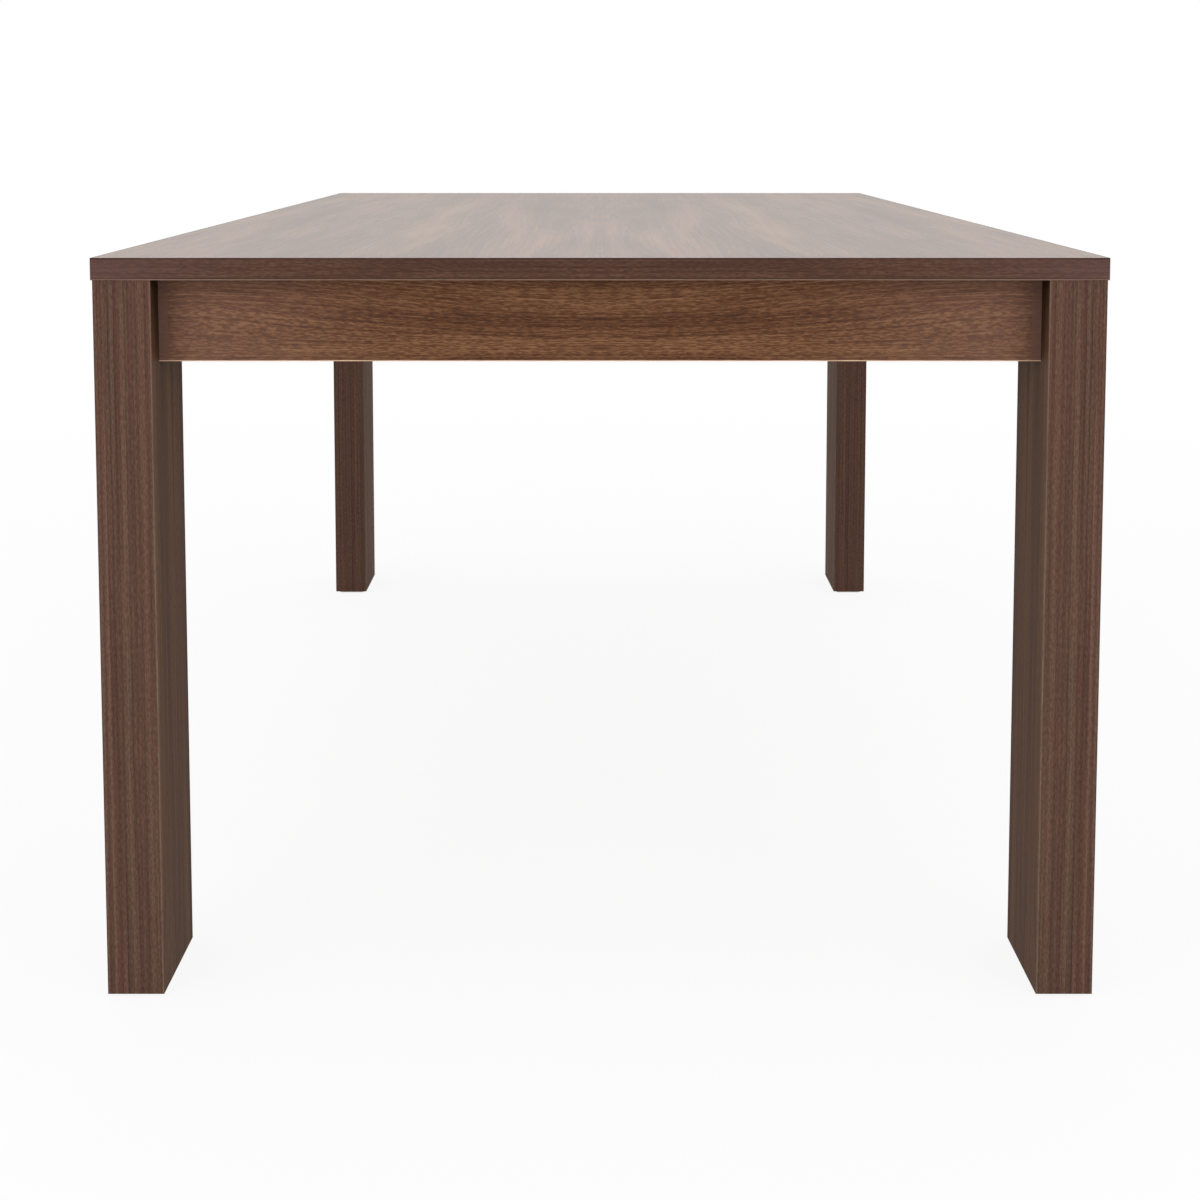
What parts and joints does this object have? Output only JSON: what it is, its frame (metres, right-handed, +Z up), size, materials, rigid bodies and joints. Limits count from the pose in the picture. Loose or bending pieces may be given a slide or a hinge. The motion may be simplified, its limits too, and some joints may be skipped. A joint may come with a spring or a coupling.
{
  "type": "dining table",
  "caption": "Rectangular dining table with a thin top, deep plank legs flush at its corners and set-back aprons, in dark wood-grain board.",
  "frame": {"origin": "on the floor under the middle of the top", "axes": "+Z up, +Y along the table's length, away from the pictured end, +X across its width, to the right in the picture"},
  "size_m": [1, 2, 0.75],
  "materials": {
    "top_facing": "walnut-look melamine facing, satin",
    "top_edge_band": "walnut-look edge band, satin",
    "leg_facing": "walnut-look melamine facing, satin",
    "leg_edge_band": "walnut-look edge band, satin",
    "apron_facing": "walnut-look melamine facing, satin",
    "lower_band": "pale edge band, satin",
    "chipboard": "raw sawn board",
    "beech": "turned beech, bare",
    "cast_zinc": "die-cast, dull",
    "plated_steel": "zinc-plated, satin",
    "pad_plastic": "light grey moulded plastic"
  },
  "bodies": {
    "root": {"top_board": "top_facing", "top_band_front": "top_edge_band", "top_band_rear": "top_edge_band", "top_band_left": "top_edge_band", "top_band_right": "top_edge_band", "leg_front_left_outer_board": "leg_facing", "leg_front_left_inner_board": "leg_facing", "leg_front_left_core_frame": "chipboard", "leg_front_left_end_band": "leg_edge_band", "leg_front_left_inside_band": "leg_edge_band", "leg_front_left_pads": "pad_plastic", "leg_front_right_outer_board": "leg_facing", "leg_front_right_inner_board": "leg_facing", "leg_front_right_core_frame": "chipboard", "leg_front_right_end_band": "leg_edge_band", "leg_front_right_inside_band": "leg_edge_band", "leg_front_right_pads": "pad_plastic", "leg_rear_left_outer_board": "leg_facing", "leg_rear_left_inner_board": "leg_facing", "leg_rear_left_core_frame": "chipboard", "leg_rear_left_end_band": "leg_edge_band", "leg_rear_left_inside_band": "leg_edge_band", "leg_rear_left_pads": "pad_plastic", "leg_rear_right_outer_board": "leg_facing", "leg_rear_right_inner_board": "leg_facing", "leg_rear_right_core_frame": "chipboard", "leg_rear_right_end_band": "leg_edge_band", "leg_rear_right_inside_band": "leg_edge_band", "leg_rear_right_pads": "pad_plastic", "end_apron_front": "apron_facing", "end_apron_front_band": "lower_band", "end_apron_front_dowels": "beech", "end_apron_front_cams": "cast_zinc", "end_apron_front_cam_bolts": "plated_steel", "end_apron_rear": "apron_facing", "end_apron_rear_band": "lower_band", "end_apron_rear_dowels": "beech", "end_apron_rear_cams": "cast_zinc", "end_apron_rear_cam_bolts": "plated_steel", "side_apron_left": "apron_facing", "side_apron_left_band": "lower_band", "side_apron_left_dowels": "beech", "side_apron_left_cams": "cast_zinc", "side_apron_left_cam_bolts": "plated_steel", "side_apron_right": "apron_facing", "side_apron_right_band": "lower_band", "side_apron_right_dowels": "beech", "side_apron_right_cams": "cast_zinc", "side_apron_right_cam_bolts": "plated_steel", "centre_rail": "apron_facing", "centre_rail_band": "lower_band", "centre_rail_dowels": "beech", "top_brackets": "plated_steel", "rail_brackets": "plated_steel"}
  },
  "joints": []
}
